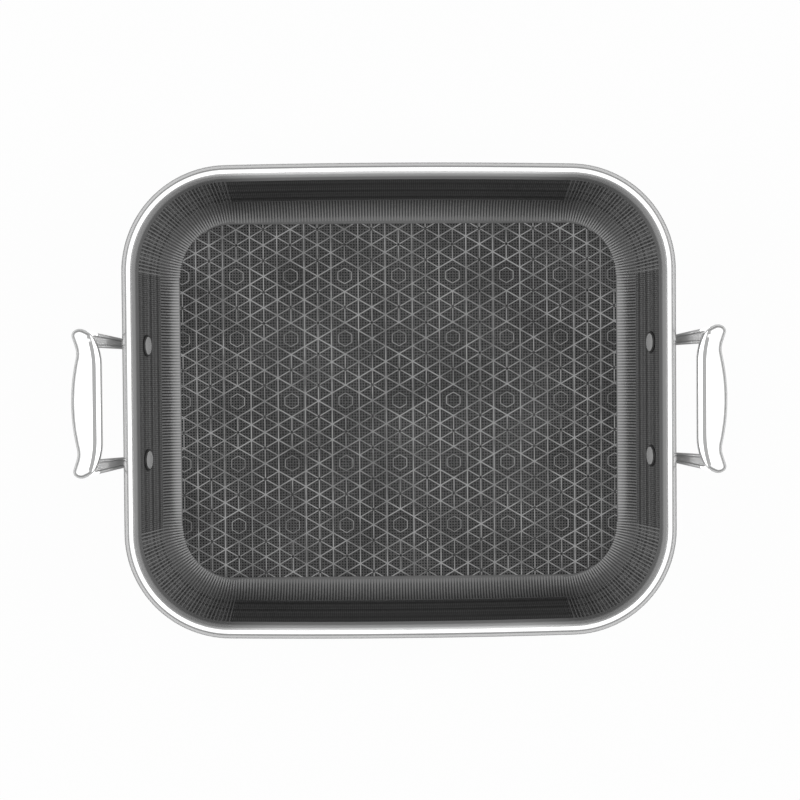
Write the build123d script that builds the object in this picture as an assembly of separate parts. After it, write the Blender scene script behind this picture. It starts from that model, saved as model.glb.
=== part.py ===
from build123d import *

import os
from math import atan2, cos, degrees, radians, sin, sqrt, tan

# Roasting pan of clad sheet steel with two riveted loop handles.
# The frame: millimetres, +Z up, the origin at the middle of the underside.
# +X runs along the length, towards the right handle.

# The pan
rim_length = 425.8  # over the outer edge of the rim, along X
rim_width = 366.0  # the same across, at the middle of the bowed long sides
pan_height = 78.0  # underside to the top of the rim
wall_draft = 12.7  # degrees that the walls lean outwards
floor_fillet = 16.0  # inside bend between floor and wall
floor_corner_radius = 43.5  # corners of the flat floor, seen from above
long_side_radius = 6800.0  # the gentle bow of the two long sides

# The clad sheet, from the food side outwards
inner_skin = 0.5
core_thickness = 1.8
outer_skin = 0.5

# The flared rim: a round crest, then a skirt that slopes down
rim_crest_radius = 3.6
skirt_length = 4.2
skirt_slope = 52.0  # degrees below level

# The rivets
rivet_below_rim = 30.5  # axis at the inner wall, down from the top of the rim
rivet_inset = 13.0  # axis from the end of the grip, along Y
rivet_head_diameter = 17.6
rivet_head_height = 2.8
rivet_head_undercut = 0.9  # height of the head's bevelled back, next to the wall
rivet_shank_diameter = 6.4
rivet_tail_diameter = 12.0
rivet_tail_height = 2.6
rivet_hole_clearance = 0.1  # on the diameter

# The mounting pads of a handle
pad_width = 21.0
pad_below_rivet = 10.0
pad_above_arm = 1.6
pad_thickness = 3.0
pad_corner_radius = 5.0
pad_edge_radius = 0.8

# The arms of a handle
arm_top_below_rim = 17.0  # level stretch of the arm, measured from the top of the rim
arm_thickness = 6.0
arm_bend_radius = 12.0  # upper side of the upward bend
arm_bend_inside_rim = 2.0  # where the bend starts, inside the rim's edge
arm_rise = 35.0  # degrees that the arm climbs after its bend
arm_sink = 1.6  # how far its tip reaches into the grip
arm_root_width = 6.4
arm_root_offset = -0.1  # middle of the arm at its root, outside the rivet
arm_tip_width = 10.6
arm_tip_offset = 3.3  # the same where the arm meets the grip
arm_edge_radius = 1.4
arm_groove_depth = 2.6
arm_groove_radius = 1.4  # along the bottom of the groove
arm_groove_wall = 1.9  # metal left on each side of the groove
arm_groove_start = 1.6  # groove's inner end, outside the middle of the rim's crest

# The grip of a handle
grip_gap = 15.6  # rim edge to the grip's inner edge
grip_length = 115.2
grip_width = 23.4  # at the belly
grip_thickness = 9.0
grip_above_rim = 2.0
grip_top_radius = 4.4
grip_bottom_radius = 2.6
grip_ledge_width = 3.9  # lower ledge along the inner edge, up to the foot of its slope
grip_ledge_depth = 1.9
grip_ledge_slope = 2.7  # width of the slope from the ledge up to the top
overrun = 5.0  # cutters reach this far past what they cut

# Corners of the grip's outline on one half, before they are rounded. The first value
# is a share of the width, and the third the share of the shorter run beside the corner
# that its arc takes. The second is a share of half the length here:
belly_share = (1.145, 0.0, 0.80)
waist_share = (0.795, 0.679, 0.28)
shoulder_share = (0.0, 0.66, 0.50)
# and here it is the way back from the grip's end, as a share of the width:
horn_share = (1.0, 0.15, 0.46)
crown_share = (0.72, -0.03, 0.50)
heel_share = (0.27, 0.185, 0.48)
edge_limit_share = 0.96  # an edge's round stays below this share of the horn's own round

# The ledge's outer edge bends away here, as a share of half the grip's length, and
# leaves the grip at its end by this share of the grip's width.
ledge_bend_share = 0.70
ledge_end_share = 0.50
ledge_arc_share = 0.55  # of the shorter run beside the bend, for its arc

# Worked out from the sizes above
rivet_height = pan_height - rivet_below_rim
rivet_spacing = grip_length - 2 * rivet_inset
sheet_thickness = inner_skin + core_thickness + outer_skin
draft = radians(wall_draft)
slope = radians(skirt_slope)
wall_foot_z = sheet_thickness + floor_fillet * (1 - sin(draft))
wall_foot_x = floor_fillet * cos(draft)
crest_z = pan_height - rim_crest_radius  # centre of the crest's round
wall_top_z = crest_z + rim_crest_radius * sin(draft)
wall_top_x = wall_foot_x + (wall_top_z - wall_foot_z) * tan(draft)
crest_x = wall_top_x + rim_crest_radius * cos(draft)
rim_reach = crest_x + rim_crest_radius * sin(slope) + skirt_length * cos(slope)
floor_half_length = rim_length / 2 - rim_reach
floor_half_width = rim_width / 2 - rim_reach
bow_centre_y = floor_half_width - long_side_radius
corner_x = floor_half_length - floor_corner_radius
corner_y = bow_centre_y + sqrt((long_side_radius - floor_corner_radius) ** 2 - corner_x**2)
corner_turn = degrees(atan2(corner_y - bow_centre_y, corner_x))


def sheet_section(near, far):
    """Section of one layer of the sheet, from the floor's edge to the rim's edge.

    near and far are its distances below the food side. X is the distance outwards
    from the floor's edge, and Y the height.
    """

    def fillet_point(depth, angle):
        radius = floor_fillet + depth
        return (radius * sin(angle), sheet_thickness + floor_fillet - radius * cos(angle))

    def crest_point(depth, angle):
        radius = rim_crest_radius - depth
        return (crest_x + radius * sin(angle), crest_z + radius * cos(angle))

    def side(depth):
        fillet_turn = radians(90 - wall_draft)
        crest_start = radians(wall_draft - 90)
        crest_end = slope
        end = crest_point(depth, crest_end)
        edge = (end[0] + skirt_length * cos(slope), end[1] - skirt_length * sin(slope))
        fillet = [fillet_point(depth, fillet_turn * k / 2) for k in range(3)]
        crest = [crest_point(depth, crest_start + (crest_end - crest_start) * k / 2) for k in range(3)]
        lines = [
            ThreePointArc(*fillet),
            Line(fillet[2], crest[0]),
            ThreePointArc(*crest),
            Line(crest[2], edge),
        ]
        return lines, fillet[0], edge

    near_lines, near_start, near_edge = side(near)
    far_lines, far_start, far_edge = side(far)
    caps = [Line(near_edge, far_edge), Line(far_start, near_start)]
    return make_face(near_lines + far_lines + caps)


def turned(section, centre, radius, start, end):
    """The section turned about a vertical axis, between two directions in degrees."""
    direction = Vector(cos(radians(start)), sin(radians(start)), 0)
    plane = Plane(origin=centre, x_dir=direction, z_dir=direction.cross(Vector(0, 0, 1)))
    placed = plane * (Pos(radius, 0) * section)
    return revolve(placed, Axis(centre, (0, 0, 1)), revolution_arc=end - start)


def straight_side(section, side):
    """The section drawn along one short side: side is 1 at +X and -1 at -X."""
    plane = Plane(
        origin=(side * floor_half_length, -side * corner_y, 0),
        x_dir=(side, 0, 0),
        z_dir=(0, -side, 0),
    )
    return extrude(plane * section, amount=2 * corner_y, dir=(0, side, 0))


def floor_slab(bottom, top):
    """The flat floor of one layer."""

    def corner_point(k, turn):
        sx, sy = ((1, 1), (-1, 1), (-1, -1), (1, -1))[k]
        x = corner_x + floor_corner_radius * cos(radians(turn))
        y = corner_y + floor_corner_radius * sin(radians(turn))
        return (sx * x, sy * y)

    lines = []
    for k in range(4):
        turns = (0, corner_turn / 2, corner_turn)
        lines.append(ThreePointArc(*[corner_point(k, turn) for turn in turns]))
    for sy, pair in ((1, (0, 1)), (-1, (2, 3))):
        ends = [corner_point(k, corner_turn) for k in pair]
        lines.append(ThreePointArc(ends[0], (0, sy * floor_half_width), ends[1]))
    for pair in ((1, 2), (3, 0)):
        lines.append(Line(*[corner_point(k, 0) for k in pair]))
    return Pos(0, 0, bottom) * extrude(make_face(lines), amount=top - bottom)


def sheet_layer(near, far):
    """One whole layer of the pan, near and far below the food side."""
    section = sheet_section(near, far)
    layer = floor_slab(sheet_thickness - far, sheet_thickness - near)
    for k in range(4):
        sx, sy = ((1, 1), (-1, 1), (-1, -1), (1, -1))[k]
        start = (0, 180 - corner_turn, 180, 360 - corner_turn)[k]
        centre = (sx * corner_x, sy * corner_y, 0)
        layer += turned(section, centre, floor_corner_radius, start, start + corner_turn)
    for sy, start in ((1, corner_turn), (-1, 180 + corner_turn)):
        centre = (0, sy * bow_centre_y, 0)
        layer += turned(section, centre, long_side_radius, start, start + 180 - 2 * corner_turn)
    for side in (1, -1):
        layer += straight_side(section, side)
    return layer


def wall_plane(side, y, z, depth):
    """A plane on an end wall, depth below the food side at height z. Its Z points out
    of the pan, its X along the wall and its Y up the wall."""
    x = floor_half_length + wall_foot_x + (z - wall_foot_z) * tan(draft)
    outwards = Vector(side * cos(draft), 0, -sin(draft))
    food_side = Vector(side * x, y, z)
    return Plane(origin=food_side + outwards * depth, x_dir=(0, side, 0), z_dir=outwards)


def rivet_plane(side, end, depth):
    return wall_plane(side, end * rivet_spacing / 2, rivet_height, depth)


def rivet_hole(side, end):
    """Cutter for the hole that a rivet's shank passes through."""
    reach = sheet_thickness + pad_thickness + overrun
    hole = Cylinder((rivet_shank_diameter + rivet_hole_clearance) / 2, reach + overrun)
    return rivet_plane(side, end, 0) * Pos(0, 0, (reach - overrun) / 2) * hole


def dome(diameter, height):
    """A round head, flat below: a slice of a ball."""
    rim = diameter / 2
    ball = (rim**2 + height**2) / (2 * height)
    middle = Pos(0, 0, height - ball)
    slab = Pos(0, 0, height / 2) * Cylinder(rim + overrun, height)
    return (middle * Sphere(ball)) & slab


def rivet(side, end):
    """One rivet: a wide domed head in the pan, the shank and the set tail outside."""
    grip = sheet_thickness + pad_thickness
    shank = Pos(0, 0, grip / 2) * Cylinder(rivet_shank_diameter / 2, grip)
    rim = rivet_head_diameter / 2
    back = Cone(rim, rim - rivet_head_undercut, rivet_head_undercut)
    front = Rot(180, 0, 0) * dome(rivet_head_diameter, rivet_head_height - rivet_head_undercut)
    head = Pos(0, 0, -rivet_head_undercut / 2) * back + Pos(0, 0, -rivet_head_undercut) * front
    tail = Pos(0, 0, grip) * dome(rivet_tail_diameter, rivet_tail_height)
    return rivet_plane(side, end, 0) * (shank + head + tail)


def rounded_outline(corners):
    """A closed outline with round corners. A corner is (x, y, share), and its arc starts
    at that share of the shorter run beside it. A share of zero leaves it sharp."""
    points = [Vector(x, y) for x, y, share in corners]
    count = len(points)
    lines = []
    arcs = []
    for k in range(count):
        corner = points[k]
        back = points[k - 1] - corner
        ahead = points[(k + 1) % count] - corner
        reach = corners[k][2] * min(back.length, ahead.length)
        start = corner + back.normalized() * reach
        end = corner + ahead.normalized() * reach
        half_turn = radians(180 - back.get_angle(ahead)) / 2
        radius = reach / tan(half_turn)
        bisector = (back.normalized() + ahead.normalized()).normalized()
        middle = corner + bisector * (radius / cos(half_turn) - radius)
        arcs.append((start, middle, end))
    for k in range(count):
        if corners[k][2] > 0:
            lines.append(ThreePointArc(*arcs[k]))
        lines.append(Line(arcs[k][2], arcs[(k + 1) % count][0]))
    return make_face(lines)


def grip_outline():
    """The grip seen from above, with its inner edge on Y and its belly towards +X."""
    half = grip_length / 2

    def along(x, y, share):
        return (x * grip_width, y * half, share)

    def from_end(x, back, share):
        return (x * grip_width, half - back * grip_width, share)

    end = [from_end(*corner) for corner in (horn_share, crown_share, heel_share)]
    corners = [along(*belly_share), along(*waist_share)] + end + [along(*shoulder_share)]
    mirrored = [(x, -y, share) for x, y, share in corners[:0:-1]]
    return rounded_outline(corners + mirrored)


def ledge_outline(shift):
    """What the ledge takes off the grip, seen from above, moved outwards by shift."""
    half = grip_length / 2
    bend = (grip_ledge_width + shift, half * ledge_bend_share, ledge_arc_share)
    end = (grip_width * ledge_end_share + shift, half + overrun, 0)
    back = (-overrun, half + overrun, 0)
    mirrored = [(x, -y, share) for x, y, share in (back, end, bend)]
    return rounded_outline([bend, end, back] + mirrored)


def grip():
    """The broad hand grip, with a lower ledge along its inner edge."""
    outline = grip_outline()
    limit = edge_limit_share * min(arc.radius for arc in outline.edges().filter_by(GeomType.CIRCLE))
    bar = extrude(outline, amount=grip_thickness)
    bar = fillet(bar.faces().sort_by(Axis.Z)[-1].edges(), min(grip_top_radius, limit))
    bar = fillet(bar.faces().sort_by(Axis.Z)[0].edges(), min(grip_bottom_radius, limit))
    foot = Pos(0, 0, grip_thickness - grip_ledge_depth) * ledge_outline(0)
    mouth = Pos(0, 0, grip_thickness + grip_ledge_depth) * ledge_outline(2 * grip_ledge_slope)
    bar -= loft([foot, mouth], ruled=True)
    inner_edge = rim_length / 2 + grip_gap
    return Pos(inner_edge, 0, pan_height + grip_above_rim - grip_thickness) * bar


def arm_section(below, above):
    """Side view of an arm, between two distances below its upper side."""
    level = pan_height - arm_top_below_rim
    root_x = floor_half_length
    bend_x = rim_length / 2 - arm_bend_inside_rim
    climb = radians(arm_rise)
    grip_level = pan_height + grip_above_rim - grip_thickness + arm_sink

    def side(depth):
        radius = arm_bend_radius + depth
        centre_z = level + arm_bend_radius
        bend = [
            (bend_x + radius * sin(climb * k / 2), centre_z - radius * cos(climb * k / 2)) for k in range(3)
        ]
        run = (grip_level - bend[2][1]) / tan(climb)
        tip = (bend[2][0] + run, grip_level)
        root = (root_x, level - depth)
        return [Line(root, bend[0]), ThreePointArc(*bend), Line(bend[2], tip)], root, tip

    upper, upper_root, upper_tip = side(above)
    lower, lower_root, lower_tip = side(below)
    caps = [Line(upper_tip, lower_tip), Line(lower_root, upper_root)]
    return Plane.XZ * make_face(upper + lower + caps)


def arm_plan(start_x, inset):
    """An arm seen from above, drawn in by inset on each side, from start_x outwards."""
    root_x = floor_half_length + wall_top_x
    tip_x = rim_length / 2 + grip_gap

    def edge(x, sign):
        share = (x - root_x) / (tip_x - root_x)
        offset = arm_root_offset + (arm_tip_offset - arm_root_offset) * share
        width = arm_root_width + (arm_tip_width - arm_root_width) * share
        return (x, rivet_spacing / 2 + offset + sign * (width / 2 - inset))

    stations = (start_x, tip_x + grip_width)
    points = [edge(x, 1) for x in stations] + [edge(x, -1) for x in reversed(stations)]
    return make_face(Polyline(*points, close=True))


def arm():
    """One grooved arm, from inside its pad to inside the grip."""
    inside = floor_half_length + wall_foot_x
    height = pan_height + grip_above_rim
    reach = rivet_spacing + arm_tip_width
    blank = extrude(arm_section(arm_thickness, 0), amount=reach, dir=(0, 1, 0))
    body = blank & extrude(arm_plan(inside, 0), amount=height)
    root, tip = body.bounding_box().min.X, body.bounding_box().max.Z
    body = fillet(
        [
            edge
            for edge in body.edges().filter_by(Axis.Y, reverse=True)
            if edge.center().X > root + arm_edge_radius and edge.center().Z < tip - arm_edge_radius
        ],
        arm_edge_radius,
    )
    groove_x = floor_half_length + crest_x + arm_groove_start
    groove = extrude(arm_section(arm_groove_depth, -overrun), amount=reach, dir=(0, 1, 0))
    groove &= extrude(arm_plan(groove_x, arm_groove_wall), amount=height)
    bottom = groove.faces().filter_by(lambda face: face.normal_at().Z < 0)
    groove = fillet(bottom.edges().filter_by(Axis.Y, reverse=True), arm_groove_radius)
    return body - groove


def pad():
    """One mounting pad, flat on the outside of the end wall."""
    top = (pan_height - arm_top_below_rim - rivet_height) / cos(draft) + pad_above_arm
    tall = top + pad_below_rivet
    plate = Pos(0, (top - pad_below_rivet) / 2) * RectangleRounded(pad_width, tall, pad_corner_radius)
    solid = extrude(plate, amount=pad_thickness)
    solid = fillet(solid.faces().sort_by(Axis.Z)[-1].edges(), pad_edge_radius)
    return rivet_plane(1, 1, sheet_thickness) * solid


def right_handle():
    """The whole right handle, one casting: two pads, two arms and the grip."""
    behind = Box(*[grip_length] * 3, align=(Align.CENTER, Align.CENTER, Align.MAX))
    clamp = arm() - rivet_plane(1, 1, sheet_thickness) * behind + pad()
    handle = grip() + clamp + mirror(clamp, Plane.XZ)
    for end in (1, -1):
        handle -= rivet_hole(1, end)
    return handle


def write(name, shape):
    shape.label = name
    export_step(shape, os.path.join("parts", name + ".step"))


os.makedirs("parts", exist_ok=True)

layers = {
    "pan_inner_skin": (0, inner_skin),
    "pan_aluminium_core": (inner_skin, inner_skin + core_thickness),
    "pan_outer_skin": (inner_skin + core_thickness, sheet_thickness),
}
for name, (near, far) in layers.items():
    layer = sheet_layer(near, far)
    for side in (1, -1):
        for end in (1, -1):
            layer -= rivet_hole(side, end)
    write(name, layer)

handle = right_handle()
write("right_handle", handle)
write("left_handle", mirror(handle, Plane.YZ))

for side, side_name in ((1, "right"), (-1, "left")):
    for end, end_name in ((1, "back"), (-1, "front")):
        write(side_name + "_" + end_name + "_rivet", rivet(side, end))
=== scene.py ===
import math

import bmesh
import bpy
from mathutils import Matrix, Vector


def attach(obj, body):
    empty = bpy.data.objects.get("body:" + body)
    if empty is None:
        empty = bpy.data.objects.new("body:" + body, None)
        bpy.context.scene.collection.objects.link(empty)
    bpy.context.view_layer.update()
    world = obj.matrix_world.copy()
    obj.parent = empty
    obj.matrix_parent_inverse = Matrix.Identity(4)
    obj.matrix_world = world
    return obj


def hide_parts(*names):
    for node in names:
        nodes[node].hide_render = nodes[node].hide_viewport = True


# Roasting pan of clad steel: polished rim, dark etched inside, two riveted loop handles.
# Meshes are made in millimetres and scaled to metres when they are finished. Finishes are in metres.

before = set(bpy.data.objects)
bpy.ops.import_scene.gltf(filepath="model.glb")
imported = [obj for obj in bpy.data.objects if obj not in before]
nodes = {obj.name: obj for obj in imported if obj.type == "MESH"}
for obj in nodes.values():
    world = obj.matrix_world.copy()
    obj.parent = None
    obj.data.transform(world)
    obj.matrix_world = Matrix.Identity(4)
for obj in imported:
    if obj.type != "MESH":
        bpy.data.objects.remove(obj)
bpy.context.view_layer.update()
upwards = Vector((0, 0, 1))
perMetre = 1000
weldGap = 1e-3  # vertices that lie this close are one, in millimetres
print("frame loaded:", ", ".join(sorted(nodes)))


# Shader helpers

class Wire:  # one value in a node tree, with arithmetic
    def __init__(self, tree, socket):
        self.tree = tree
        self.socket = socket

    def math(self, operation, other=None, swapped=False):
        node = self.tree.nodes.new("ShaderNodeMath")
        node.operation = operation
        pair = (other, self) if swapped else (self, other)
        for entry, value in zip(node.inputs, pair):
            if isinstance(value, Wire):
                self.tree.links.new(value.socket, entry)
            elif value is not None:
                entry.default_value = value
        return Wire(self.tree, node.outputs[0])

    def __add__(self, other):
        return self.math("ADD", other)

    def __sub__(self, other):
        return self.math("SUBTRACT", other)

    def __rsub__(self, other):
        return self.math("SUBTRACT", other, True)

    def __mul__(self, other):
        return self.math("MULTIPLY", other)

    def __truediv__(self, other):
        return self.math("DIVIDE", other)

    __radd__ = __add__
    __rmul__ = __mul__


class NodeBoard:
    def __init__(self, tree):
        self.tree = tree
        tree.nodes.clear()

    def add(self, kind, values=None, output=0, **settings):
        node = self.tree.nodes.new(kind)
        for name, value in settings.items():
            setattr(node, name, value)
        for name, value in (values or {}).items():
            if isinstance(value, Wire):
                self.tree.links.new(value.socket, node.inputs[name])
            else:
                node.inputs[name].default_value = value
        return Wire(self.tree, node.outputs[output]) if node.outputs else node

    def smooth(self, value, low, high):  # 0 at low, 1 at high
        limits = {"Value": value, "From Min": low, "From Max": high}
        return self.add("ShaderNodeMapRange", limits, interpolation_type="SMOOTHSTEP")

    def blend(self, mask, first, second):  # first where the mask is 0, second where it is 1
        return self.add("ShaderNodeMix", {0: mask, 6: first, 7: second}, 2, data_type="RGBA")

    def shade(self, mask, pair):  # the same with a pair of greys
        return self.blend(mask, *[grey(value) for value in pair])

    def noise(self, place, scale, detail=2):
        return self.add("ShaderNodeTexNoise", {"Vector": place, "Scale": scale, "Detail": detail})

    def place(self, kind="Object"):
        return self.add("ShaderNodeTexCoord", output={"Generated": 0, "UV": 2, "Object": 3}[kind])

    def outputs(self, first):  # all outputs of the node that the first one belongs to, by name
        return {socket.name: Wire(self.tree, socket) for socket in first.socket.node.outputs}

    def split(self, vector):
        return list(self.outputs(self.add("ShaderNodeSeparateXYZ", {0: vector})).values())

    def lines(self, value, pitch, width, soft):  # 1 on stripes of that width, 0 between them
        offset = ((value / pitch).math("FRACT") - 0.5).math("ABSOLUTE") * pitch
        return self.smooth(offset, width / 2 + soft, width / 2 - soft)

    def bump(self, height, strength):
        depth = 0.1 / perMetre
        return self.add("ShaderNodeBump", {"Height": height, "Strength": strength, "Distance": depth})

    def steel(self, values):
        return self.add("ShaderNodeBsdfPrincipled", values)

    def finish(self, surface, kind="ShaderNodeOutputMaterial"):
        self.add(kind, {"Surface": surface})


def newFinish(name):
    material = bpy.data.materials.new(name)
    material.use_nodes = True
    return material, NodeBoard(material.node_tree)


def grey(value):
    return (value, value, value, 1.0)


def between(share, low, high):  # low where the share is 0, high where it is 1
    return low + share * (high - low)


def varied(value, noise, spread):  # by noise, which lies about a half
    return value + (noise - 0.5) * spread


def lightRays(board):  # the camera's own rays, and those that come by a mirror or through glass
    rays = board.outputs(board.add("ShaderNodeLightPath"))
    return rays["Is Camera Ray"], rays["Is Glossy Ray"].math("MAXIMUM", rays["Is Transmission Ray"])


# Mesh helpers

def addPiece(name, bm, materials, smoothAngle, replaced=()):
    for edge in bm.edges:
        if len(edge.link_faces) == 2:
            edge.smooth = edge.calc_face_angle() < math.radians(smoothAngle)
    for face in bm.faces:
        face.smooth = True
    bmesh.ops.scale(bm, vec=Vector((1, 1, 1)) / perMetre, verts=bm.verts)
    mesh = bpy.data.meshes.new(name)
    bm.to_mesh(mesh)
    bm.free()
    for material in materials:
        mesh.materials.append(material)
    piece = bpy.data.objects.new(name, mesh)
    bpy.context.scene.collection.objects.link(piece)
    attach(piece, "root")
    if replaced:
        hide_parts(*replaced)
    print(name, "made,", len(mesh.polygons), "faces")
    return piece


def wholeMesh(bm):
    return bm.verts[:] + bm.edges[:] + bm.faces[:]


def onlyVerts(geom):
    return [part for part in geom if isinstance(part, bmesh.types.BMVert)]


def chainOf(geom):  # the vertices and edges of a profile, without faces
    return [part for part in geom if not isinstance(part, bmesh.types.BMFace)]


# The pan's sizes, which every piece of it shares

pan = {
    "rimHalfLength": 212.9,
    "rimHalfWidth": 183.0,
    "height": 78.0,
    "sheet": 2.8,  # three layers together
    "skin": 0.5,  # one steel layer
    "draft": math.radians(12.7),
    "fillet": 16.0,
    "crest": 3.6,
    "skirtLength": 4.2,
    "skirtSlope": math.radians(52),
    "cornerRadius": 43.5,
    "bowRadius": 6800.0,
    "etchedTop": 63.4,  # height where the dark etching stops
    "smoothAngle": 60,
    "nudge": 1e-6,  # just past the top of the wall
    "seam": 0.03,  # ends of a sweep that lie this close are one
    "floorBorder": 1.5,  # ring of faces that keeps the bend's shading off the flat floor
}

filletTurn = math.pi / 2 - pan["draft"]
filletRun = pan["fillet"] * filletTurn
wallFootX = pan["fillet"] * math.cos(pan["draft"])
wallFootZ = pan["sheet"] + pan["fillet"] * (1 - math.sin(pan["draft"]))
crestZ = pan["height"] - pan["crest"]
wallTopZ = crestZ + pan["crest"] * math.sin(pan["draft"])
wallTopX = wallFootX + (wallTopZ - wallFootZ) * math.tan(pan["draft"])
crestX = wallTopX + pan["crest"] * math.cos(pan["draft"])
etchedRun = filletRun + (pan["etchedTop"] - wallFootZ) / math.cos(pan["draft"])
wallRun = filletRun + (wallTopZ - wallFootZ) / math.cos(pan["draft"])
rimReach = crestX + pan["crest"] * math.sin(pan["skirtSlope"])
rimReach += pan["skirtLength"] * math.cos(pan["skirtSlope"])
floorHalfX = pan["rimHalfLength"] - rimReach
floorHalfY = pan["rimHalfWidth"] - rimReach
bowCentreY = floorHalfY - pan["bowRadius"]
cornerX = floorHalfX - pan["cornerRadius"]
cornerY = bowCentreY + math.sqrt((pan["bowRadius"] - pan["cornerRadius"]) ** 2 - cornerX**2)
cornerTurn = math.atan2(cornerY - bowCentreY, cornerX)
bowTurn = math.pi - 2 * cornerTurn

# The eight runs around the pan, from the front end of the right side: the middle that a run
# turns about and its angle, or the straight way that it goes. An end is a short side of the pan.
runs = [
    {"way": Vector((0, 2 * cornerY, 0)), "angle": 0, "kind": "end"},
    {"middle": Vector((cornerX, cornerY, 0)), "angle": cornerTurn, "kind": "corner"},
    {"middle": Vector((0, bowCentreY, 0)), "angle": bowTurn, "kind": "side"},
    {"middle": Vector((-cornerX, cornerY, 0)), "angle": cornerTurn, "kind": "corner"},
    {"way": Vector((0, -2 * cornerY, 0)), "angle": 0, "kind": "end"},
    {"middle": Vector((-cornerX, -cornerY, 0)), "angle": cornerTurn, "kind": "corner"},
    {"middle": Vector((0, -bowCentreY, 0)), "angle": bowTurn, "kind": "side"},
    {"middle": Vector((cornerX, -cornerY, 0)), "angle": cornerTurn, "kind": "corner"},
]


def runLength(run):  # at the edge of the flat floor
    if run["kind"] == "end":
        return run["way"].length
    return run["angle"] * (pan["cornerRadius"] if run["kind"] == "corner" else pan["bowRadius"])


def pathPoint(path, depth):  # outwards from the floor's edge and up, depth below the food side
    if path <= filletRun:
        radius = pan["fillet"] + depth
        turn = path / pan["fillet"]
        return radius * math.sin(turn), pan["sheet"] + pan["fillet"] - radius * math.cos(turn)
    if path <= wallRun:
        along = (path - filletRun) / (wallRun - filletRun)
        foot = pathPoint(filletRun, depth)
        top = pathPoint(wallRun + pan["nudge"], depth)
        return between(along, foot[0], top[0]), between(along, foot[1], top[1])
    radius = pan["crest"] - depth
    turn = -filletTurn + (path - wallRun) / pan["crest"]
    excess = max(0, turn - pan["skirtSlope"]) * pan["crest"]  # length along the straight skirt
    turn = min(turn, pan["skirtSlope"])
    x = crestX + radius * math.sin(turn) + excess * math.cos(turn)
    return x, crestZ + radius * math.cos(turn) - excess * math.sin(turn)


crestRun = wallRun + pan["crest"] * (filletTurn + pan["skirtSlope"])
wholeRun = crestRun + pan["skirtLength"]


def profileAt(bm, stops, depth):  # a chain of vertices at the front end of the right side
    along = bm.verts.layers.float["along"]
    chain = []
    for stop in stops:
        x, z = pathPoint(stop, depth)
        vert = bm.verts.new((floorHalfX + x, -cornerY, z))
        vert[along] = stop
        chain.append(vert)
    return chain + [bm.edges.new(pair) for pair in zip(chain, chain[1:])]


def evenly(start, end, count):
    return [start + (end - start) * k / count for k in range(count + 1)]


def panStops(fillet, etched, bare, crest, skirt):  # with so many steps on each stretch
    stops = evenly(0, filletRun, fillet) + evenly(filletRun, etchedRun, etched)[1:]
    stops += evenly(etchedRun, wallRun, bare)[1:] + evenly(wallRun, crestRun, crest)[1:]
    return stops + evenly(crestRun, wholeRun, skirt)[1:]


def sweepAround(bm, chain, stepsPerRun):  # the chain swept once around the pan
    around = bm.verts.layers.float["around"]
    run0 = 0.0
    for run in runs:
        steps = stepsPerRun[run["kind"]]
        for k in range(steps):
            move = {"cent": run.get("middle", (0, 0, 0)), "dvec": run.get("way", Vector()) / steps}
            turned = bmesh.ops.spin(
                bm, geom=chain, axis=upwards, angle=run["angle"] / steps, steps=1, **move
            )
            chain = chainOf(turned["geom_last"])
            for vert in onlyVerts(chain):
                vert[around] = run0 + runLength(run) * (k + 1) / steps
        run0 += runLength(run)


def writeRunUv(bm):  # metres around the floor's edge and up the wall, before the seam is merged
    uv = bm.loops.layers.uv.new("wallRun")
    around, along = bm.verts.layers.float["around"], bm.verts.layers.float["along"]
    for face in bm.faces:
        for loop in face.loops:
            loop[uv].uv = (loop.vert[around] / perMetre, loop.vert[along] / perMetre)


def newPanMesh():
    bm = bmesh.new()
    bm.verts.layers.float.new("around")
    bm.verts.layers.float.new("along")
    return bm


def thickness(piece, size):
    wall = piece.modifiers.new("sheet thickness", "SOLIDIFY")
    wall.thickness = size / perMetre
    wall.offset = -1
    wall.use_even_offset = True


def sheetShell(depth, settings, facing):  # one face of the sheet, swept around and closed by the floor
    bm = newPanMesh()
    chain = profileAt(bm, panStops(**settings["steps"]), depth)
    sweepAround(bm, chain, settings["around"])
    writeRunUv(bm)
    bmesh.ops.remove_doubles(bm, verts=bm.verts, dist=pan["seam"])
    along = bm.verts.layers.float["along"]
    rim = [e for e in bm.edges if e.is_boundary and all(v[along] == 0 for v in e.verts)]
    floor = bmesh.ops.contextual_create(bm, geom=rim)["faces"]
    bmesh.ops.inset_region(bm, faces=floor, thickness=pan["floorBorder"])
    print("open edges left, at the rim alone:", sum(e.is_boundary for e in bm.edges))
    bmesh.ops.recalc_face_normals(bm, faces=bm.faces)
    if bm.faces[:][-1].normal.z * facing < 0:  # the last face is part of the floor
        bmesh.ops.reverse_faces(bm, faces=bm.faces)
    return bm


def faceRun(bm, face):  # how far up the wall it lies
    along = bm.verts.layers.float["along"]
    return sum(v[along] for v in face.verts) / len(face.verts)


# Finish of the inside: etched floor and wall, and bare steel between them, with painted highlight and
# painted shade

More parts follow.
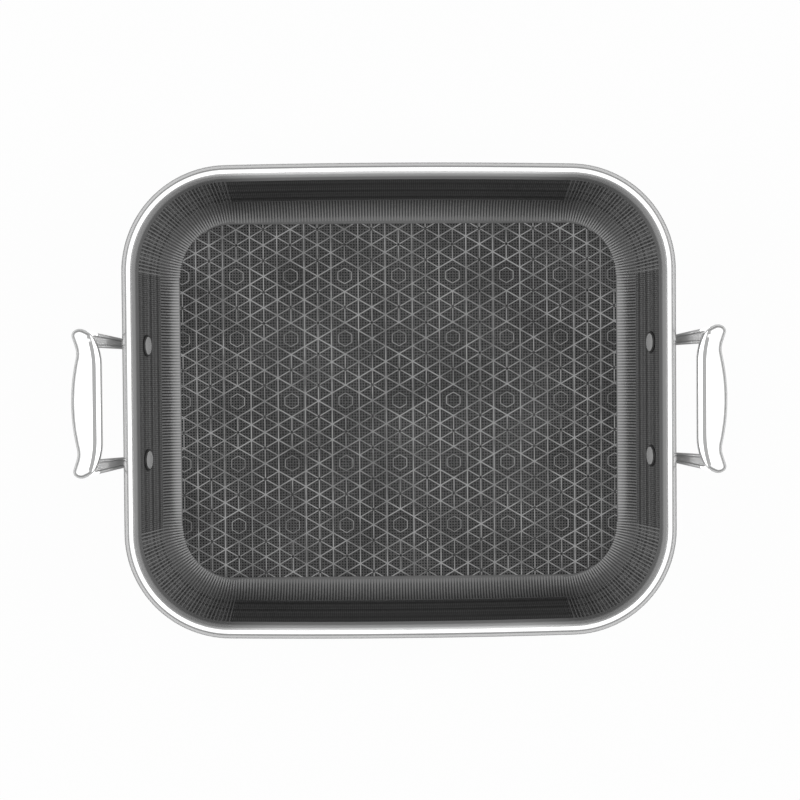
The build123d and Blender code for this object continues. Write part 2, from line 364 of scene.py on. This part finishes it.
inside = {
    "floorHalfLength": 0.1766,  # etched floor, a little longer and narrower than the flat floor
    "floorHalfWidth": 0.1430,
    "floorCorner": 0.0425,
    "floorField": 0.002,  # etched ground
    "floorMesh": (0.028, 0.070),  # fine steel mesh left standing on it, at its darkest and lightest
    "floorPitch": 0.00225,
    "floorLine": 0.0010,
    "floorMottle": (0.3, 0.7),  # noise between which the mesh goes from dark to light
    "wallField": 0.005,
    "wallMesh": (0.026, 0.090),
    "wallPitch": 0.00156,
    "wallLine": 0.0007,
    "wallMottle": (0.35, 0.65),
    "wallFade": 0.0006,  # the mesh fades in over this
    "wallMetal": 0.35,
    "gap": (0.031, 0.012),  # between the ribs, and the same along the middle of the short sides, where it is painted darker as painted shade
    "bare": (0.085, 0.13),  # strip by the floor, bare steel with a painted highlight, and the same there, painted lighter
    "bareRun": (0.0013, 0.0050),  # where it starts to fade and where it has faded
    "endRun": 0.0070,  # so much wider is the fading of the painted highlight on the short sides
    "bareMetal": 0.3,
    "gloss": 0.10,
    "roughness": 0.44,
    "roughSpread": 0.2,
    "longSides": (0.085, 0.165),  # x between which a long side's painted light and shade turns into a short side's
    "shortMiddle": (0.118, 0.078),  # y between which a corner's painted light and shade turns into the middle's
    "longSidePaintedShade": 0.72,  # painted shade: share of the wall's shade that is kept on the long sides
    "lineEdge": 0.0002,  # softness of the mesh's lines
    "edge": 0.0003,  # and of the edge between two finishes
    "grain": 800,  # noises, by their scale
    "patch": 14,
    "patchShare": 0.4,  # of the floor's mottle, and grain for the rest
    "band": 190,
    "bandShare": 0.7,  # of the wall's
    "grainHeight": 0.4,
    "bump": 0.35,
}


def crossed(board, first, second, pitch, width):  # two sets of lines that cross
    lines = board.lines(first, pitch, width, inside["lineEdge"])
    return lines.math("MAXIMUM", board.lines(second, pitch, width, inside["lineEdge"]))


def endShare(board, x):  # 0 along the middle of the long sides, 1 at the short sides
    return board.smooth(x.math("ABSOLUTE"), *inside["longSides"])


def endMiddle(board, y):  # 1 along the middle of the short sides, 0 from their corners on
    return board.smooth(y.math("ABSOLUTE"), *inside["shortMiddle"])


etchedInside, board = newFinish("etchedInside")
place = board.place()
x, y = board.split(place)[:2]
around, along = board.split(board.place("UV"))[:2]
grain = board.noise(place, inside["grain"])

# The floor, up to an outline with round corners
corner = inside["floorCorner"]
beyondX = (x.math("ABSOLUTE") - (inside["floorHalfLength"] - corner)).math("MAXIMUM", 0.0)
beyondY = (y.math("ABSOLUTE") - (inside["floorHalfWidth"] - corner)).math("MAXIMUM", 0.0)
reach = (beyondX * beyondX + beyondY * beyondY).math("SQRT")
onFloor = board.smooth(reach, corner + inside["edge"], corner - inside["edge"])
floorGrid = crossed(board, x, y, inside["floorPitch"], inside["floorLine"])
patch = board.noise(place, inside["patch"], 3)
mottle = patch * inside["patchShare"] + grain * (1 - inside["patchShare"])
floorShade = board.shade(board.smooth(mottle, *inside["floorMottle"]), inside["floorMesh"])
floorShade = board.blend(floorGrid, grey(inside["floorField"]), floorShade)

# The wall, with its mesh above the bend and bare steel by the floor, painted with a highlight
bendTop = filletRun / perMetre
wallGrid = crossed(board, around, along, inside["wallPitch"], inside["wallLine"])
wallGrid = wallGrid * board.smooth(along, bendTop, bendTop + inside["wallFade"])
band = board.noise(board.add("ShaderNodeCombineXYZ", {"Y": along}), inside["band"])
mottle = band * inside["bandShare"] + grain * (1 - inside["bandShare"])
wallShade = board.shade(board.smooth(mottle, *inside["wallMottle"]), inside["wallMesh"])
wallShade = board.blend(wallGrid, grey(inside["wallField"]), wallShade)
onBend = board.smooth(along, bendTop + inside["edge"], bendTop - inside["edge"])
onEnd = endMiddle(board, y)
# Painted shade: the gaps between the ribs are darker along the middle of the short sides.
wallShade = board.blend(onBend, wallShade, board.shade(onEnd, inside["gap"]))
# Painted highlight: the bare steel by the floor is lighter, and lighter and wider along the middle of the
# short sides.
bare = board.smooth(along, onEnd * inside["endRun"] + inside["bareRun"][1], inside["bareRun"][0])
wallShade = board.blend(bare, wallShade, board.shade(onEnd, inside["bare"]))
# Painted shade: the wall is darker on the long sides.
wallShade = board.blend(between(endShare(board, x), inside["longSidePaintedShade"], 1), grey(0.0), wallShade)
wallMetal = (wallGrid * inside["wallMetal"]).math("MAXIMUM", bare * inside["bareMetal"])

height = between(onFloor, wallGrid, floorGrid) + grain * inside["grainHeight"]
board.finish(board.steel({
    "Base Color": board.blend(onFloor, wallShade, floorShade),
    "Metallic": between(onFloor, wallMetal, floorGrid),
    "Roughness": varied(inside["roughness"], grain, inside["roughSpread"]),
    "Specular IOR Level": inside["gloss"],
    "Normal": board.bump(height, inside["bump"]),
}))

bareBand = {
    "endShades": (0.075, 0.18),  # painted reflection: at its foot and below the crest, on the short sides
    # painted reflection, lighter on the long sides
    "sideShades": (0.17, 0.38),
    "from": (0.40, 0.80),  # shares of its height between which the painted reflection brightens
    "metallic": 0.3,
    "roughness": 0.36,
    "roughSpread": 0.1,
    "grain": 500,
    "bump": 0.05,
    "turn": 5,  # steps of the crest that it covers
}

satinBand, board = newFinish("satinBand")
along = board.split(board.place("UV"))[1]
place = board.place()
grain = board.noise(place, bareBand["grain"])
# Painted reflection: lighter towards the crest, and lighter on the long sides than on the short ones.
rise = board.smooth(along, *[between(share, etchedRun, wallRun) / perMetre for share in bareBand["from"]])
endBand, sideBand = (board.shade(rise, bareBand[name]) for name in ("endShades", "sideShades"))
board.finish(board.steel({
    "Base Color": board.blend(endShare(board, board.split(place)[0]), sideBand, endBand),
    "Metallic": bareBand["metallic"],
    "Roughness": varied(bareBand["roughness"], grain, bareBand["roughSpread"]),
    "Normal": board.bump(grain, bareBand["bump"]),
}))

# Polished steel, with a faint haze and long smears: what every one has, and what each has of its own

polish = {
    "metallic": 1.0,
    "gloss": 0.5,
    "haze": 18,
    "hazeShare": 0.5,
    "hazeShade": 0.9,  # of the steel's shade, where the haze is thickest
    "hazeSpread": 0.08,
    "grain": 260,
    "smear": (40, 40, 900),
    "smearSpread": 0.03,
    "bump": 0.02,
}
steels = {
    "polishedRim": {"shade": 0.80, "roughness": 0.16},
    "outerSteel": {"shade": 0.72, "roughness": 0.22},
    "underSteel": {"shade": 0.62, "roughness": 0.34, "grain": 500, "smearSpread": 0.0},
    "castSteel": {"shade": 0.84, "roughness": 0.17, "grain": 300},
    # satin arms, painted darker as shade under the grips
    "armSteel": {"shade": 0.48, "roughness": 0.34, "grain": 400, "metallic": 0.8},
    "faintSteel": {"shade": 0.075, "roughness": 0.45, "grain": 600, "metallic": 0.0, "gloss": 0.2},
    "rivetSteel": {"shade": 0.24, "roughness": 0.24, "grain": 500, "metallic": 0.5},
    # painted shadow on the rivets' border and seat
    "rivetPaintedShadow": {"shade": 0.012, "roughness": 0.5, "grain": 500, "metallic": 0.0},
}


def polishedSteel(name):
    steel = {**polish, **steels[name]}
    material, board = newFinish(name)
    place = board.place()
    haze = board.noise(place, steel["haze"], 3)
    grain = board.noise(place, steel["grain"])
    smear = board.noise(board.add("ShaderNodeMapping", {0: place, "Scale": steel["smear"]}), 1.0)
    shades = (steel["shade"], steel["shade"] * steel["hazeShade"])
    roughness = varied(steel["roughness"], haze, steel["hazeSpread"])
    board.finish(board.steel({
        "Base Color": board.shade(haze * steel["hazeShare"], shades),
        "Metallic": steel["metallic"],
        "Specular IOR Level": steel["gloss"],
        "Roughness": varied(roughness, smear, steel["smearSpread"]),
        "Normal": board.bump(grain, steel["bump"]),
    }))
    return material


finishes = {name: polishedSteel(name) for name in steels}

ribFinish = {
    "side": 0.085,  # painted shade: darker on the long sides
    "foot": (0.150, 0.20),  # painted highlight at their foot, the second along the middle of the short sides
    "top": 0.092,
    "heights": (0.0028, 0.0070),  # of foot and top, between which the painted highlight fades
    "metallic": 0.35,
    "gloss": 0.2,
    "roughness": 0.42,
    "roughSpread": 0.08,
    "grain": 600,
    "bump": 0.02,
}

ribSteel, board = newFinish("ribSteel")
place = board.place()
x, y, height = board.split(place)
grain = board.noise(place, ribFinish["grain"])
# Painted highlight and shade: lighter at the foot, most along the middle of the short sides, darker up
# the bend and on the long sides.
ribShade = board.shade(endMiddle(board, y), ribFinish["foot"])
ribShade = board.blend(board.smooth(height, *ribFinish["heights"]), ribShade, grey(ribFinish["top"]))
board.finish(board.steel({
    "Base Color": board.blend(endShare(board, x), grey(ribFinish["side"]), ribShade),
    "Metallic": ribFinish["metallic"],
    "Specular IOR Level": ribFinish["gloss"],
    "Roughness": varied(ribFinish["roughness"], grain, ribFinish["roughSpread"]),
    "Normal": board.bump(grain, ribFinish["bump"]),
}))

netFinish = {
    "shades": (0.095, 0.175),
    "patch": 38,
    "mottle": (0.35, 0.65),  # noise between which the shade changes
    "roughness": 0.38,
    "roughSpread": 0.1,
    "grain": 500,
    "bump": 0.1,
}

netSteel, board = newFinish("netSteel")
place = board.place()
patch = board.noise(place, netFinish["patch"], 3)
grain = board.noise(place, netFinish["grain"])
board.finish(board.steel({
    "Base Color": board.shade(board.smooth(patch, *netFinish["mottle"]), netFinish["shades"]),
    "Metallic": 1.0,
    "Roughness": varied(netFinish["roughness"], grain, netFinish["roughSpread"]),
    "Normal": board.bump(grain, netFinish["bump"]),
}))


# The pan's inside: food side of the sheet

panInner = {
    "steps": {"fillet": 12, "etched": 12, "bare": 3, "crest": 14, "skirt": 2},
    "around": {"end": 24, "corner": 30, "side": 24},
}

bm = sheetShell(0, panInner, 1)
bandEnd = wallRun + (crestRun - wallRun) * bareBand["turn"] / panInner["steps"]["crest"]
for face in bm.faces:
    run = faceRun(bm, face)
    face.material_index = 0 if run < etchedRun else 1 if run < bandEnd else 2
materials = [etchedInside, satinBand, finishes["polishedRim"]]
piece = addPiece("pan_inside", bm, materials, pan["smoothAngle"], ["pan_inner_skin"])
thickness(piece, pan["skin"])

# The pan's outside

panOuter = {
    "steps": {"fillet": 12, "etched": 6, "bare": 2, "crest": 12, "skirt": 2},
    "around": {"end": 12, "corner": 28, "side": 20},
}

bm = sheetShell(pan["sheet"], panOuter, -1)
for face in bm.faces:
    face.material_index = 1 if faceRun(bm, face) < weldGap else 0
materials = [finishes["outerSteel"], finishes["underSteel"]]
piece = addPiece("pan_outside", bm, materials, pan["smoothAngle"], ["pan_outer_skin"])
thickness(piece, pan["skin"])

# The bonded aluminium between them, seen only at the rim's edge

coreSheet = {"shades": (0.62, 0.74), "grain": 800, "roughness": 0.38, "roughSpread": 0.2, "bump": 0.1}

coreFinish, board = newFinish("rolledAluminium")
grain = board.noise(board.place(), coreSheet["grain"], 3)
board.finish(board.steel({
    "Base Color": board.shade(grain, coreSheet["shades"]),
    "Metallic": 1.0,
    "Roughness": varied(coreSheet["roughness"], grain, coreSheet["roughSpread"]),
    "Normal": board.bump(grain, coreSheet["bump"]),
}))
core = nodes["pan_aluminium_core"]
core.data.materials.clear()
core.data.materials.append(coreFinish)
print("sheet layers made")

# Ribs of bare steel on the bend between floor and wall. In the corners they run on up the wall.

ribs = {
    "pitch": {"end": 2.33, "corner": 1.875, "side": 2.33},  # at the floor's edge
    "width": {"end": 1.15, "corner": 0.90, "side": 1.15},
    "start": {"end": 2.4, "corner": 1.2, "side": 0.2},  # along the sheet, from the floor's edge
    "proud": 0.08,
    "thick": 0.16,
    "steps": 8,
    "wallWidth": 0.60,  # in the corners, above the bend
    "toothWidth": 0.8,  # where they meet the bare band below the rim
    "toothRun": 1.4,
    "toothOverlap": 0.2,  # onto the band
}


def runMatrix(run, share=1.0):
    if run["kind"] == "end":
        return Matrix.Translation(run["way"] * share)
    about = Matrix.Translation(run["middle"])
    return about @ Matrix.Rotation(run["angle"] * share, 4, "Z") @ about.inverted()


def ribRow(index, stops, width, finish=0):  # one rib, repeated along a run
    run = runs[index]
    length = runLength(run)
    count = round(length / ribs["pitch"][run["kind"]])
    bm = newPanMesh()
    chain = profileAt(bm, stops, -ribs["proud"])
    place = runMatrix(run, 0.5 / count - width / length / 2)
    for earlier in reversed(runs[:index]):
        place = place @ runMatrix(earlier)
    bmesh.ops.transform(bm, matrix=place, verts=bm.verts)
    middle, way = run.get("middle", Vector()), run.get("way", Vector())
    share = width / length
    bmesh.ops.spin(
        bm, geom=chain, cent=middle, axis=upwards, dvec=way * share, angle=run["angle"] * share, steps=1
    )
    bm.normal_update()
    if bm.faces[:][0].normal.z < 0:
        bmesh.ops.reverse_faces(bm, faces=bm.faces)
    bmesh.ops.solidify(bm, geom=wholeMesh(bm), thickness=ribs["thick"])
    bmesh.ops.spin(
        bm, geom=wholeMesh(bm), cent=middle, axis=upwards, dvec=way / count,
        angle=run["angle"] * (count - 1) / count, steps=count - 1, use_duplicate=True,
    )
    for face in bm.faces:
        face.material_index = finish
    return bm


def joinInto(target, source):
    mesh = bpy.data.meshes.new("joined")
    source.to_mesh(mesh)
    source.free()
    target.from_mesh(mesh)
    bpy.data.meshes.remove(mesh)


bm = newPanMesh()
toothFoot = etchedRun - ribs["toothRun"]
for index, run in enumerate(runs):
    kind = run["kind"]
    bendStops = evenly(ribs["start"][kind], filletRun, ribs["steps"])
    joinInto(bm, ribRow(index, bendStops, ribs["width"][kind]))
    if kind == "corner":
        joinInto(bm, ribRow(index, [filletRun, toothFoot], ribs["wallWidth"], 1))
        joinInto(bm, ribRow(index, [toothFoot, etchedRun + ribs["toothOverlap"]], ribs["toothWidth"]))
bmesh.ops.recalc_face_normals(bm, faces=bm.faces)
addPiece("fillet_ribs", bm, [ribSteel, finishes["faintSteel"]], pan["smoothAngle"])

# Thin line around the pan, along the upper ends of the ribs

line = {
    "start": 0.1,  # above the bend
    "width": 0.6,
    "proud": 0.08,
    "sunk": 0.08,
    "around": {"end": 2, "corner": 24, "side": 8},
    "smoothAngle": 30,
}

bm = newPanMesh()
foot = filletRun + line["start"]
top = foot + line["width"]
corners = [(foot, -line["proud"]), (top, -line["proud"]), (top, line["sunk"]), (foot, line["sunk"])]
section = [profileAt(bm, [stop], depth)[0] for stop, depth in corners]
section += [bm.edges.new((section[k], section[k - 1])) for k in range(4)]
sweepAround(bm, section, line["around"])
bmesh.ops.remove_doubles(bm, verts=bm.verts, dist=pan["seam"])
bmesh.ops.recalc_face_normals(bm, faces=bm.faces)
addPiece("rib_edge_line", bm, [ribSteel], line["smoothAngle"])

# Handles: the casting as the frame has it, merged and shaded smooth

handles = {
    "gripBottom": 71.0,  # height below which arms and pads are darker and rougher: a satin finish, with painted shade under the grip
    "smoothAngle": 35,
}
materials = [finishes["castSteel"], finishes["armSteel"]]

for side in ("right", "left"):
    bm = bmesh.new()
    bm.from_mesh(nodes[side + "_handle"].data)
    bmesh.ops.remove_doubles(bm, verts=bm.verts, dist=weldGap / perMetre)
    bmesh.ops.scale(bm, vec=Vector((1, 1, 1)) * perMetre, verts=bm.verts)
    for face in bm.faces:
        face.material_index = 1 if face.calc_center_median().z < handles["gripBottom"] else 0
    name = side + "_grip_casting"
    piece = addPiece(name, bm, materials, handles["smoothAngle"], [side + "_handle"])
    weights = piece.modifiers.new("face weights", "WEIGHTED_NORMAL")
    weights.keep_sharp = True

# Rivets

rivet = {
    "spacing": 89.2,
    "belowRim": 30.5,
    "headWidth": 17.6,
    "headHeight": 2.8,
    "undercut": 0.9,  # bevelled back of the head
    "edgeRound": 0.5,
    "brightWidth": 14.2,  # the head's border beyond it gets painted shadow
    "shankWidth": 6.4,
    "tailWidth": 12.0,
    "tailHeight": 2.6,
    "pad": 3.0,
    "lip": 0.35,  # upright edge of the tail
    "turns": 40,
    "headSteps": 12,
    "edgeSteps": 4,
    "tailSteps": 8,
    "smoothAngle": 35,
}


def ballRadius(width, height):  # of the ball that a round head is cut from
    return ((width / 2) ** 2 + height**2) / (2 * height)


def rivetMesh():
    bm = bmesh.new()
    grip = pan["sheet"] + rivet["pad"]
    points = []
    ball = ballRadius(rivet["headWidth"], rivet["headHeight"] - rivet["undercut"])
    reach = math.asin(rivet["headWidth"] / 2 / ball)
    for turn in evenly(0, reach - rivet["edgeRound"] / ball, rivet["headSteps"]):
        points.append((ball * math.sin(turn), -rivet["headHeight"] + ball * (1 - math.cos(turn))))
    edge = Vector((rivet["headWidth"] / 2, -rivet["undercut"]))
    before = Vector(points[-1])
    after = edge + Vector((-1, 1)).normalized() * rivet["edgeRound"]
    for share in evenly(0, 1, rivet["edgeSteps"])[1:]:  # rounds the edge
        points.append(before.lerp(edge, share).lerp(edge.lerp(after, share), share))
    points += [(rivet["headWidth"] / 2 - rivet["undercut"], 0), (rivet["shankWidth"] / 2, 0)]
    points += [(rivet["shankWidth"] / 2, grip), (rivet["tailWidth"] / 2, grip)]
    ball = ballRadius(rivet["tailWidth"], rivet["tailHeight"] - rivet["lip"])
    reach = math.asin(rivet["tailWidth"] / 2 / ball)
    for turn in evenly(reach, 0, rivet["tailSteps"]):
        points.append((ball * math.sin(turn), grip + rivet["tailHeight"] - ball * (1 - math.cos(turn))))
    chain = [bm.verts.new((radius, 0, height)) for radius, height in points]
    edges = [bm.edges.new(pair) for pair in zip(chain, chain[1:])]
    bmesh.ops.spin(
        bm, geom=chain + edges, cent=(0, 0, 0), axis=upwards, angle=math.tau, steps=rivet["turns"],
        use_merge=True,
    )
    bmesh.ops.remove_doubles(bm, verts=bm.verts, dist=weldGap)
    bmesh.ops.recalc_face_normals(bm, faces=bm.faces)
    for face in bm.faces:
        # Painted shadow: the head's border, its bevelled back and the shank get the near black finish.
        middle = face.calc_center_median()
        onBorder = middle.xy.length > rivet["brightWidth"] / 2 and middle.z < 0
        face.material_index = 1 if onBorder or -rivet["undercut"] / 2 < middle.z < grip / 2 else 0
    return bm


rivetZ = pan["height"] - rivet["belowRim"]
rivetX = floorHalfX + wallFootX + (rivetZ - wallFootZ) * math.tan(pan["draft"])
materials = [finishes["rivetSteel"], finishes["rivetPaintedShadow"]]
for side, sideName in ((1, "right"), (-1, "left")):
    for end, endName in ((1, "back"), (-1, "front")):
        bm = rivetMesh()
        outwards = Vector((side * math.cos(pan["draft"]), 0, -math.sin(pan["draft"])))
        turn = upwards.rotation_difference(outwards).to_matrix().to_4x4()
        seat = Matrix.Translation((side * rivetX, end * rivet["spacing"] / 2, rivetZ))
        bmesh.ops.transform(bm, matrix=seat @ turn, verts=bm.verts)
        name = sideName + "_" + endName + "_rivet"
        addPiece(name + "_head", bm, materials, rivet["smoothAngle"], [name])

# Net of bare steel lines on the floor

net = {
    "side": 12.6,  # of the small triangles
    "margin": 0.3,
    "width": 0.90,
    "spokeWidth": 0.75,
    "windowWidth": 0.60,
    "proud": 0.05,
    "step": 0.004,  # crossing lines differ by this in height
    "sunk": 0.05,
    "hub": 1.2,  # spokes stop short of the middle by this
    "windowShare": 0.5,  # hexagon inside an open one
    "cornerCuts": 8,
    "cutGap": 1e-5,  # points this close to a cut lie on it
    "smoothAngle": 30,
}


def addLine(bm, start, end, width, proud):
    way = end - start
    turn = Matrix.Rotation(math.atan2(way.y, way.x), 4, "Z")
    size = Matrix.Diagonal((way.length, width, proud + net["sunk"], 1))
    middle = (start + end) / 2
    seat = Matrix.Translation((middle.x, middle.y, pan["sheet"] + (proud - net["sunk"]) / 2))
    bmesh.ops.create_cube(bm, size=1, matrix=seat @ turn @ size)


def fromAngle(degrees):
    return Vector((math.cos(math.radians(degrees)), math.sin(math.radians(degrees))))


def addHexagon(bm, centre, isOpen):  # a smaller hexagon in an open one, spokes in the others
    window = net["side"] * net["windowShare"]
    for k in range(6):
        height = net["proud"] - (k % 3 + 1) * net["step"]
        corner, following = fromAngle(30 + 60 * k), fromAngle(90 + 60 * k)
        if isOpen:
            addLine(bm, centre + corner * window, centre + following * window, net["windowWidth"], height)
        else:
            start, end = centre + corner * net["hub"], centre + corner * net["side"]
            addLine(bm, start, end, net["spokeWidth"], height)


def buildNet():  # hexagons with spokes, of which one in four is left open
    bm = bmesh.new()
    column = net["side"] * math.sqrt(3)
    reachX, reachY = floorHalfX + column, floorHalfY + column
    reach = math.hypot(reachX, reachY)
    count = math.ceil(reach / column)
    for step, angle in enumerate((90, 30, 150)):
        way, across = fromAngle(angle), fromAngle(angle + 90)
        height = net["proud"] + step * net["step"]
        for k in range(-count, count):
            middle = across * (k + 0.5) * column
            addLine(bm, middle - way * reach, middle + way * reach, net["width"], height)
    columns, rows = math.ceil(reachX / column), math.ceil(reachY / net["side"] / 2)
    for i in range(-columns, columns + 1):
        for j in range(-rows, rows + 1):
            centre = Vector((i * column, (2 * j + i % 2) * net["side"]))
            addHexagon(bm, centre, i % 2 == 0 and j % 2 == 0)
    return bm


def floorEdgeCuts():  # points on the etched floor's outline, with the direction that faces out of it
    radius = inside["floorCorner"] * perMetre
    halfX = inside["floorHalfLength"] * perMetre - radius
    halfY = inside["floorHalfWidth"] * perMetre - radius
    cuts = []
    for k in range(4):
        signs = fromAngle(45 + 90 * k)
        middle = Vector((math.copysign(halfX, signs.x), math.copysign(halfY, signs.y)))
        for angle in evenly(90 * k, 90 * (k + 1), net["cornerCuts"]):
            outwards = fromAngle(angle)
            cuts.append(((middle + outwards * (radius - net["margin"])).to_3d(), outwards.to_3d()))
    return cuts


bm = buildNet()
for point, outwards in floorEdgeCuts():
    plane = {"dist": net["cutGap"], "plane_co": point, "plane_no": outwards}
    cut = bmesh.ops.bisect_plane(bm, geom=wholeMesh(bm), clear_outer=True, **plane)
    bmesh.ops.holes_fill(bm, edges=[e for e in cut["geom_cut"] if isinstance(e, bmesh.types.BMEdge)])
for side in (1, -1):  # the outermost ends lie on the foot of the bend
    plane = {"dist": net["cutGap"], "plane_co": (side * floorHalfX, 0, 0), "plane_no": (1, 0, 0)}
    bmesh.ops.bisect_plane(bm, geom=wholeMesh(bm), **plane)
for vert in bm.verts:
    beyond = max(0, abs(vert.co.x) - floorHalfX)
    vert.co.z += pan["fillet"] - math.sqrt(pan["fillet"] ** 2 - beyond**2)
addPiece("floor_net", bm, [netSteel], net["smoothAngle"])

# Stage, light and camera

stage = {"size": 6.0, "paper": 0.22, "whiteShare": 0.97, "shinyShare": 0.25}

bm = bmesh.new()
bmesh.ops.create_grid(bm, x_segments=1, y_segments=1, size=stage["size"] / 2)
mesh = bpy.data.meshes.new("studio_floor")
bm.to_mesh(mesh)
bm.free()
studioFloor = bpy.data.objects.new("studio_floor", mesh)
bpy.context.scene.collection.objects.link(studioFloor)
paper, board = newFinish("studioPaper")
direct, shiny = lightRays(board)
whiteness = (direct * stage["whiteShare"]).math("MAXIMUM", shiny * stage["shinyShare"])
matte = board.add("ShaderNodeBsdfDiffuse", {"Color": grey(stage["paper"])})
white = board.add("ShaderNodeEmission", {"Color": grey(1.0), "Strength": 1.0})
board.finish(board.add("ShaderNodeMixShader", {0: whiteness, 1: matte, 2: white}))
mesh.materials.append(paper)

studio = {
    "zenith": 1.20,
    "middle": (0.40, 0.50),  # half way up, to the front and back and to the sides
    "horizon": (0.25, 0.30),
    "sideFrom": (-0.5, 0.5),  # x less y between which the front turns into a side
    "whiteFrom": (0.52, 0.74),  # heights between which the middle turns white
    "middleFrom": (0.0, 0.50),
    "fill": 0.30,  # for matte surfaces, from all sides
}

world = bpy.data.worlds.new("studio")
world.use_nodes = True
bpy.context.scene.world = world
board = NodeBoard(world.node_tree)
xWay, yWay, zWay = board.split(board.place("Generated"))
sideways = board.smooth(xWay.math("ABSOLUTE") - yWay.math("ABSOLUTE"), *studio["sideFrom"])
horizon, middle = (between(sideways, *studio[name]) for name in ("horizon", "middle"))
dome = between(board.smooth(zWay, *studio["middleFrom"]), horizon, middle)
dome = dome + board.smooth(zWay, *studio["whiteFrom"]) * (studio["zenith"] - middle)
glow = board.add("ShaderNodeBackground", {"Color": grey(1.0), "Strength": dome})
fill = board.add("ShaderNodeBackground", {"Color": grey(1.0), "Strength": studio["fill"]})
plain = board.add("ShaderNodeBackground", {"Color": grey(1.0), "Strength": 1.0})
direct, shiny = lightRays(board)
lit = board.add("ShaderNodeMixShader", {0: shiny, 1: fill, 2: glow})
lit = board.add("ShaderNodeMixShader", {0: direct, 1: lit, 2: plain})
board.finish(lit, "ShaderNodeOutputWorld")

lamps = [  # only the glossy one shows in polished steel
    {"name": "overheadBox", "at": (0, 0, 2.4), "size": 3.0, "power": 24, "glossy": True},
    {"name": "leftBox", "at": (-1.8, 0, 1.0), "size": 1.2, "power": 105, "glossy": False},
    {"name": "rightBox", "at": (1.8, 0, 1.0), "size": 1.2, "power": 105, "glossy": False},
]
for lamp in lamps:
    light = bpy.data.lights.new(lamp["name"], "AREA")
    light.shape = "SQUARE"
    light.size = lamp["size"]
    light.energy = lamp["power"]
    holder = bpy.data.objects.new(lamp["name"], light)
    holder.location = lamp["at"]
    holder.visible_glossy = lamp["glossy"]
    holder.rotation_euler = (-Vector(lamp["at"])).to_track_quat("-Z", "Y").to_euler()
    bpy.context.scene.collection.objects.link(holder)

view = {
    "at": (-0.0153, 0.0153, 1.400),
    "middle": (-0.00048, 0.00102, 0.078),  # shown in the middle of the frame, by shifting the lens
    "back": (-0.02902, 0.03558, 1.322),  # way that the camera's back faces
    "roll": math.radians(0.44),
    "focalPixels": 1724.1,
    "framePixels": 800,
    "sensorWidth": 36,
}
lens = bpy.data.cameras.new("camera")
lens.sensor_width = view["sensorWidth"]
lens.lens = view["focalPixels"] / view["framePixels"] * view["sensorWidth"]
camera = bpy.data.objects.new("camera", lens)
back = Vector(view["back"]).normalized()
topWay = Vector((math.sin(view["roll"]), math.cos(view["roll"]), 0))
rightWay = topWay.cross(back).normalized()
topWay = back.cross(rightWay)
offset = Vector(view["middle"]) - Vector(view["at"])
shiftScale = -view["focalPixels"] / view["framePixels"] / offset.dot(back)
lens.shift_x = offset.dot(rightWay) * shiftScale
lens.shift_y = offset.dot(topWay) * shiftScale
turn = Matrix((rightWay, topWay, back)).transposed().to_4x4()
camera.matrix_world = Matrix.Translation(view["at"]) @ turn
bpy.context.scene.collection.objects.link(camera)
bpy.context.scene.camera = camera
bpy.context.scene.view_settings.view_transform = "Standard"

bpy.context.view_layer.update()
print("stage, light and camera set")
